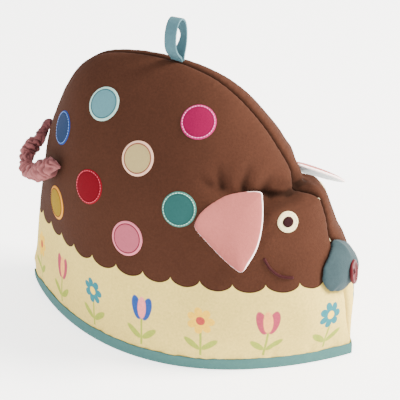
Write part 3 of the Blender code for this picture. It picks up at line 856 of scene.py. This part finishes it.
print("binding")
look = bindingLook
binding = softCopy("hem_binding", "binding")
roundEdges(binding, look["bevel"], 50)
subdivideSmooth(binding, 1)
points = getPoints(binding)
ways = [(cos(a), sin(a)) for a in np.arctan2(points[:, 1], points[:, 0])]
high = rise(points[:, 2], *look["high"])
slow = np.array([noise.noise(Vector((c * look["slowScale"], s * look["slowScale"], 0))) for c, s in ways])
tight = np.array([noise.noise(Vector((c * look["tightScale"], s * look["tightScale"], 5))) for c, s in ways])
points[:, 2] += high * (slow * look["slowLift"] + tight * look["tightLift"]) * mm
points[:, :2] *= (1 + tight * high * look["wave"] / look["waveReach"])[:, None]
points[:, 2] *= 1 - look["tailDip"] * fall(points[:, 0], *look["tailEnd"]) * high
setPoints(binding, points)
shadeSmooth(binding)
bindingCloth = clothFinish("bindingCloth", plain(look["colour"]), roundHem)
declare(binding, "blue_cloth", bindingCloth, "hem_binding")

# The hanging loop

# the far strand's back edge curls away, so that light shows through
loopLook = {
    "bevel": 0.35 * mm, "colour": tint(66, 96, 104), "flatCut": (0.0105, 0.088),
    "gapHeight": 243 * mm, "gapReach": 8 * mm, "middle": bodyX - 7 * mm, "edgeReach": 4 * mm,
    "strandReach": 3 * mm, "curl": 5.0 * mm, "curlAhead": 0.35,
}
print("loop")
look = loopLook
loop = softCopy("hanging_loop", "hangingLoop")
points = getPoints(loop)
gap = bell(points[:, 2] - look["gapHeight"], look["gapReach"])
backEdge = fall(points[:, 0], look["middle"], look["edgeReach"]) * rise(points[:, 1], 0, look["strandReach"])
points[:, 1] += look["curl"] * gap * backEdge
points[:, 0] += look["curlAhead"] * look["curl"] * gap * backEdge
setPoints(loop, points)
roundEdges(loop, look["bevel"], 50)
subdivideSmooth(loop, 1)
shadeSmooth(loop)
loopCloth = clothFinish("loopCloth", plain(look["colour"]), sideOn)
declare(loop, "blue_cloth", loopCloth, "hanging_loop")

# The padded ears

earLook = {
    "sides": 120, "rings": 36, "spread": 0.75, "mottle": 0.08, "sheen": 0.08, "fill": 0.35,
    "crown": 3.0 * mm, "crownFall": 2.2, "crownRound": 0.75,
    "rim": 0.75 * mm, "rimFall": 30, "camber": 1.2 * mm,
    "pucker": 0.12 * mm, "puckers": 31, "puckerFall": 6,
    "lift": 2.5 * mm, "liftFrom": 12, "liftOver": 25,
    # the pale rim, partly the pale backing's edge and partly a painted highlight, shows only on the nose's
    # side, where the light falls
    "narrowRim": 0.1, "noseSide": (-2, 7), "rimEdge": (0.955, 0.985),
    "pink": tint(162, 90, 84), "rimColour": tint(244, 222, 218), "under": tint(206, 214, 218),
}
# node, name, side, root, tip, and which way the flat side faces
ears = [
    ("ear_near", "earNear", -1, (71.0, -42.0, 143.0), (95.5, -94.0, 103.8), (0.153, -0.574, 0.805)),
    ("ear_far", "earFar", 1, (71.0, 39.0, 137.6), (97.3, 91.7, 106.4), (0.153, 0.774, 0.786)),
]
earOutline = [
    (-0.6, 14.6), (6.0, 15.8), (16.0, 16.4), (29.4, 16.0), (42.6, 14.0), (52.0, 11.2),
    (61.4, 6.4), (69.4, 0.4), (64.0, -7.3), (57.2, -14.2), (42.0, -27.6), (33.0, -35.2),
    (29.6, -36.8), (25.0, -36.2), (17.0, -32.4), (10.0, -26.0), (3.2, -17.0), (-0.4, -7.0),
]


def makeEar(name, side, root, tip, face):
    look = earLook
    root, tip, face = inBody(*root), inBody(*tip), Vector(face)
    piece, ball = addBall(name, look["sides"], look["rings"])
    outline = evenSteps(smoothLine(earOutline, 8, closed=True), look["sides"], closed=True) * mm
    centre = outline.mean(axis=0)
    length = (tip - root).length
    along = (tip - root) / length
    face = (face - along * face.dot(along)).normalized()
    across = along.cross(face) * side
    points = np.empty_like(ball)
    maps = np.empty((len(ball), 2))
    for k, (a, b, c) in enumerate(ball):
        share = min((a * a + b * b) ** 0.5, 1)
        turn = atan2(-b, a) % (2 * pi)
        edge = outline[round(turn / (2 * pi) * look["sides"]) % look["sides"]]
        spread = share ** look["spread"]
        spot = centre + (edge - centre) * spread
        thick = look["crown"] * max(1 - spread ** look["crownFall"], 0) ** look["crownRound"]
        if spread < 1:
            thick += look["rim"] * (1 - spread ** look["rimFall"]) ** 0.5
            thick += look["pucker"] * sin(turn * look["puckers"]) * spread ** look["puckerFall"]
        lift = look["lift"] * (max(0, -spot[1] / mm - look["liftFrom"]) / look["liftOver"]) ** 2
        height = (thick if c > 0 else -thick) + lift - look["camber"] * (spot[0] / length) ** 2
        points[k] = root + along * float(spot[0]) + across * float(spot[1]) + face * height
        # the map is cut short away from the nose, so the pale rim is painted only on the lit side
        wide = 1 - look["narrowRim"] * (1 - rise(spot[1] / mm, *look["noseSide"]))
        maps[k] = (min(spread, 1) * wide, 1 if c > 1e-4 else 0)
    shapeWithMap(piece, points, "ear", maps[:, 0], maps[:, 1])
    turnOutward(piece)
    shadeSmooth(piece)
    return piece


def earColour(place):
    spread, front = readMap(place, "ear")
    cloth = front.between(0.45, 0.55).colour(earLook["under"], earLook["pink"])
    # the pale rim: the backing's edge, and a painted highlight on the lit nose's side
    return spread.between(*earLook["rimEdge"]).colour(cloth, earLook["rimColour"])


print("ears")
earCloth = clothFinish("earCloth", earColour, slantwise, earLook["mottle"], earLook["sheen"])
for node, name, *lie in ears:
    ear = makeEar(name, *lie)
    declare(ear, "ear_cloth", earCloth, node)

# The snout pad, its button and the thread that holds it

snoutLook = {
    "voxel": 0.8 * mm, "smoothings": 45, "middle": inBody(131.5, 0, 76.5),
    "swell": 1.9 * mm, "baseShare": 0.4, "base": (14 * mm, 9 * mm),
    "pucker": 0.25 * mm, "puckers": 17, "puckerUneven": 5, "unevenScale": 90,
    "ridge": 1.3 * mm, "ridgeWidth": 2.2 * mm, "ridgeFoot": (6 * mm, 10 * mm), "ridgeEnd": (24 * mm, 8 * mm),
    "colour": tint(47, 62, 66), "sheen": 0.08, "fill": 0.85,
}
print("snout")
look = snoutLook
snout = softCopy("snout", "snoutPad")
applyModifier(snout, "REMESH", mode="VOXEL", voxel_size=look["voxel"])
applyModifier(snout, "SMOOTH", factor=0.5, iterations=look["smoothings"])
points = getPoints(snout)
normals = getPoints(snout, "normal")
height = points[:, 2] - look["middle"].z
turn = np.arctan2(height, points[:, 1])
reach = np.hypot(height, points[:, 1])
base = rise(reach, *look["base"])
uneven = noiseAt(points, look["unevenScale"])
push = base * look["pucker"] * np.sin(turn * look["puckers"] + look["puckerUneven"] * uneven)
above = rise(height, *look["ridgeFoot"]) * (points[:, 0] > look["middle"].x)
ridge = np.exp(-np.abs(points[:, 1]) / look["ridgeWidth"]) * fall(reach, *look["ridgeEnd"])
push -= look["ridge"] * above * ridge
points += normals * (look["swell"] * (1 - look["baseShare"] * base) - push)[:, None]
setPoints(snout, points)
subdivideSmooth(snout, 1)
shadeSmooth(snout)
snoutCloth = clothFinish("snoutCloth", plain(look["colour"]), headOn, sheen=look["sheen"])
declare(snout, "blue_cloth", snoutCloth, "snout")

buttonLook = {
    "centre": inBody(149.3, 0.6, 73.8), "axis": Vector((0.96, 0.20, 0.13)), "sides": 64,
    "radius": 10.0 * mm, "half": 1.5 * mm, "hole": 1.0 * mm, "holeSides": 20, "holeRing": 2.0 * mm,
    "bevel": 0.12 * mm, "red": tint(78, 8, 18), "dark": 0.7, "swirlScale": 140.0, "roughness": (0.42, 0.15),
    "specular": 0.15, "grainScale": 900.0, "grain": 0.03 * mm, "grainStrength": 0.5,
    "thread": tint(52, 14, 22), "threadLength": 5.4 * mm, "threadThick": 0.6 * mm, "threadApart": 0.3 * mm,
    "threadLifts": (0.5 * mm, 0.9 * mm),
    # each step: the radius as a share of the whole, and the height as a share of half the thickness,
    # from the back round the edge to the well
    "steps": [(0.8, -1.0), (0.90, -0.85), (0.97, -0.5), (1.0, 0.0), (0.985, 0.45), (0.94, 0.85), (0.88, 1.0),
              (0.80, 0.92), (0.72, 0.6), (0.64, 0.25), (0.56, 0.12)],
}
print("button")
look = buttonLook
steps = look["steps"]
bpy.ops.object.select_all(action="DESELECT")
bpy.ops.mesh.primitive_circle_add(vertices=look["sides"], radius=look["radius"] * steps[0][0],
                                  fill_type="NGON", location=(0, 0, steps[0][1] * look["half"]))
button = bpy.context.object
button.name = "noseButton"
settle(button)
bpy.ops.object.mode_set(mode="EDIT")
bpy.ops.mesh.select_mode(type="FACE")
bpy.ops.mesh.select_all(action="SELECT")
for (share0, height0), (share1, height1) in zip(steps, steps[1:]):
    climb = (height1 - height0) * look["half"]
    bpy.ops.mesh.extrude_region_move(TRANSFORM_OT_translate={"value": (0, 0, climb)})
    bpy.ops.transform.resize(value=(share1 / share0, share1 / share0, 1), center_override=(0, 0, 0))
bpy.ops.object.mode_set(mode="OBJECT")
turnOutward(button)
for quarter in range(4):
    turn = quarter * pi / 2 + pi / 4
    spot = (cos(turn) * look["holeRing"], sin(turn) * look["holeRing"], 0)
    bpy.ops.object.select_all(action="DESELECT")
    bpy.ops.mesh.primitive_cylinder_add(vertices=look["holeSides"], radius=look["hole"],
                                        depth=4 * look["half"], location=spot)
    drill = bpy.context.object
    applyModifier(button, "BOOLEAN", operation="DIFFERENCE", solver="EXACT", object=drill)
    bpy.data.objects.remove(drill)
roundEdges(button, look["bevel"], 60)
buttonTurn = look["axis"].to_track_quat("Z", "Y").to_matrix()
buttonPlace = Matrix.Translation(look["centre"]) @ buttonTurn.to_4x4()
button.data.transform(buttonPlace)
shadeSmooth(button, 40)
smoothest, uneven = look["roughness"]
made, shader, place = newFinish("buttonShell", 0.5, Specular_IOR_Level=look["specular"])
swirl = place.cloudy(look["swirlScale"], 4.0)
connect(shader, "Base Color", swirl.between(0.3, 0.7).colour(shaded(look["red"], look["dark"]), look["red"]))
connect(shader, "Roughness", swirl * uneven + smoothest)
bumped(shader, place.cloudy(look["grainScale"]), look["grain"], look["grainStrength"])
declare(button, "button_red", made, "nose_button")

strands = []
for angle, lift in zip((pi / 4, 3 * pi / 4), look["threadLifts"]):
    along = Vector((cos(angle), sin(angle), 0))
    sideways = Vector((-sin(angle), cos(angle), 0))
    for shift in (-look["threadApart"], look["threadApart"]):
        spot = buttonPlace @ (sideways * shift + Vector((0, 0, lift)))
        strands.append((spot, buttonTurn @ along, buttonTurn @ Vector((0, 0, 1)),
                        look["threadLength"], look["threadThick"]))
knot = sewn("buttonThread", strands)
declare(knot, "button_red", threadFinish("darkThread", look["thread"]))

# The gathered tail

tailLook = {
    "rings": 420, "sides": 36, "colour": tint(136, 82, 82), "dark": tint(60, 30, 34), "darkShare": 0.7,
    "mottle": 0.14, "sheen": 0.08, "fill": 0.7,
    "gathers": 17, "gatherTurn": 1.1, "gatherTwist": 8, "gatherUneven": 4.2, "gatherRound": 0.75,
    # the noises: how fast each changes along the tail and round it
    "wobble": (16, 0.9), "fine": (60, 2.5),
    "narrow": 0.96, "gatherDeep": 0.46, "gatherMean": 0.62, "wobbleDeep": 0.26, "fineDeep": 0.08,
    "rootFade": 20, "tipFade": 12,
    # the shade under the tail's root, by height and by place
    "shadeHeight": (126 * mm, 140 * mm), "shadePlace": (-122 * mm, -132 * mm),
}
# x, y, z and radius, in mm on the body
tailLine = [
    (-128.75, 0.0, 147.6, 3.3), (-132.2, -0.4, 146.6, 3.5), (-135.6, -1.4, 140.5, 4.0),
    (-138.8, -3.0, 134.0, 4.4), (-142.7, -6.0, 128.0, 6.0), (-144.8, -10.0, 125.0, 6.3),
    (-145.0, -15.0, 121.5, 5.6), (-141.8, -21.0, 119.0, 5.0), (-138.0, -27.0, 116.3, 5.8),
    (-130.2, -33.0, 116.0, 6.2), (-119.8, -40.0, 119.8, 6.8), (-109.3, -46.5, 127.5, 7.9),
    (-100.0, -51.0, 134.0, 7.0), (-94.8, -51.5, 135.5, 4.2), (-90.0, -51.0, 135.2, 0.8),
]
print("tail")
look = tailLook
last = look["rings"] - 1
line = evenSteps(smoothLine(tailLine, 12), look["rings"]) * mm
path = line[:, :3] + [bodyX, 0, 0]
bpy.ops.object.select_all(action="DESELECT")
bpy.ops.mesh.primitive_grid_add(x_subdivisions=last, y_subdivisions=look["sides"], size=2)
tail = bpy.context.object
tail.name = "gatheredTail"
forward = np.gradient(path, axis=0)
forward /= np.linalg.norm(forward, axis=1, keepdims=True)
outs = [np.cross(forward[0], [0.0, 1.0, 0.0])]
for step in forward:
    turned = outs[-1] - step * (outs[-1] @ step)
    outs.append(turned / np.linalg.norm(turned))
outs = np.array(outs[1:])
sides = np.cross(forward, outs)


def tailNoise(share, turn, pace):
    along, around = pace
    return noise.noise(Vector((share * along, cos(turn) * around, sin(turn) * around)))


grid = getPoints(tail)
points = np.empty_like(grid)
hollow = np.empty(len(grid))
for k, (a, b, _) in enumerate(grid):
    ring = round((a + 1) / 2 * last)
    turn = (b + 1) * pi
    share = ring / last
    wobble = tailNoise(share, turn, look["wobble"])
    fine = tailNoise(share, turn, look["fine"])
    sway = look["gatherTurn"] * sin(turn + look["gatherTwist"] * share) + look["gatherUneven"] * wobble
    lobe = abs(sin(pi * look["gathers"] * share + sway)) ** look["gatherRound"]
    fade = min(1, look["tipFade"] * (1 - share), look["rootFade"] * share)
    swell = look["gatherDeep"] * (lobe - look["gatherMean"])
    swell += look["wobbleDeep"] * wobble + look["fineDeep"] * fine
    radius = 0 if ring in (0, last) else line[ring, 3] * (look["narrow"] + swell * fade)
    # how deep a point lies between the gathers, for the painted shade in the hollows
    hollow[k] = (1 - lobe) * fade
    points[k] = path[ring] + (outs[ring] * cos(turn) + sides[ring] * sin(turn)) * radius
shapeWithMap(tail, points, "gathered", hollow, grid[:, 1])
onlySelect(tail)
bpy.ops.object.mode_set(mode="EDIT")
bpy.ops.mesh.select_all(action="SELECT")
bpy.ops.mesh.remove_doubles(threshold=mergeReach)
bpy.ops.object.mode_set(mode="OBJECT")
turnOutward(tail)
shadeSmooth(tail)


def tailColour(place):
    look = tailLook
    x, _, z = place.parts()
    # painted shade: darker in the hollows between the gathers and under the tail's root
    hollow, _ = readMap(place, "gathered")
    dark = z.between(*look["shadeHeight"]) * x.between(*look["shadePlace"])
    return (hollow.largest(dark) * look["darkShare"]).colour(look["colour"], look["dark"])


tailCloth = clothFinish("tailCloth", tailColour, slantwise, look["mottle"], look["sheen"])
declare(tail, "tail_cloth", tailCloth, "tail")

print("sheets")
look = panelLook

# The studio: a pale floor, a soft key from the far right, a wide fill and the camera

studioLook = {
    "floorSize": 12, "floorGlow": 2.3, "floor": (tint(240, 240, 240), tint(244, 244, 243)), "worldGlow": 1.8,
}
print("studio")
look = studioLook
bpy.ops.object.select_all(action="DESELECT")
bpy.ops.mesh.primitive_plane_add(size=look["floorSize"], location=(0, 0, 0))
floor = bpy.context.object
floor.name = "floor"
made, shader, place = newFinish("paleFloor", 0.85, Emission_Color=(1, 1, 1),
                                Emission_Strength=look["floorGlow"])
connect(shader, "Base Color", place.cloudy(3.0).colour(*look["floor"]))
floor.data.materials.append(made)

lights = [
    # name, place, target, size, watts, colour
    ("key", (2.0, 0.9, 1.6), (0, 0, 0.1), 0.9, 330, (1.0, 0.93, 0.84)),
    ("fill", (-0.6, -2.2, 1.3), (0, 0, 0.1), 1.8, 8, (1.0, 0.98, 0.95)),
]
for name, place, target, size, watts, colour in lights:
    lamp = bpy.data.lights.new(name, "AREA")
    lamp.size, lamp.energy, lamp.color = size, watts, colour
    holder = bpy.data.objects.new(name, lamp)
    holder.location = place
    holder.rotation_euler = (Vector(target) - Vector(place)).to_track_quat("-Z", "Y").to_euler()
    bpy.context.scene.collection.objects.link(holder)
world = bpy.data.worlds.new("studio")
world.use_nodes = True
world.node_tree.nodes["Background"].inputs["Color"].default_value = (1, 1, 1, 1)
world.node_tree.nodes["Background"].inputs["Strength"].default_value = studioLook["worldGlow"]
bpy.context.scene.world = world

cameraLook = {"place": inBody(743.4, -1397.9, 856.1), "target": inBody(-12.3, 44.7, 82.8), "lens": 192.3,
              "sensor": 36.0}
lens = bpy.data.cameras.new("camera")
lens.lens, lens.sensor_width = cameraLook["lens"], cameraLook["sensor"]
camera = bpy.data.objects.new("camera", lens)
camera.location = cameraLook["place"]
camera.rotation_euler = (cameraLook["target"] - cameraLook["place"]).to_track_quat("-Z", "Y").to_euler()
bpy.context.scene.collection.objects.link(camera)
bpy.context.scene.camera = camera
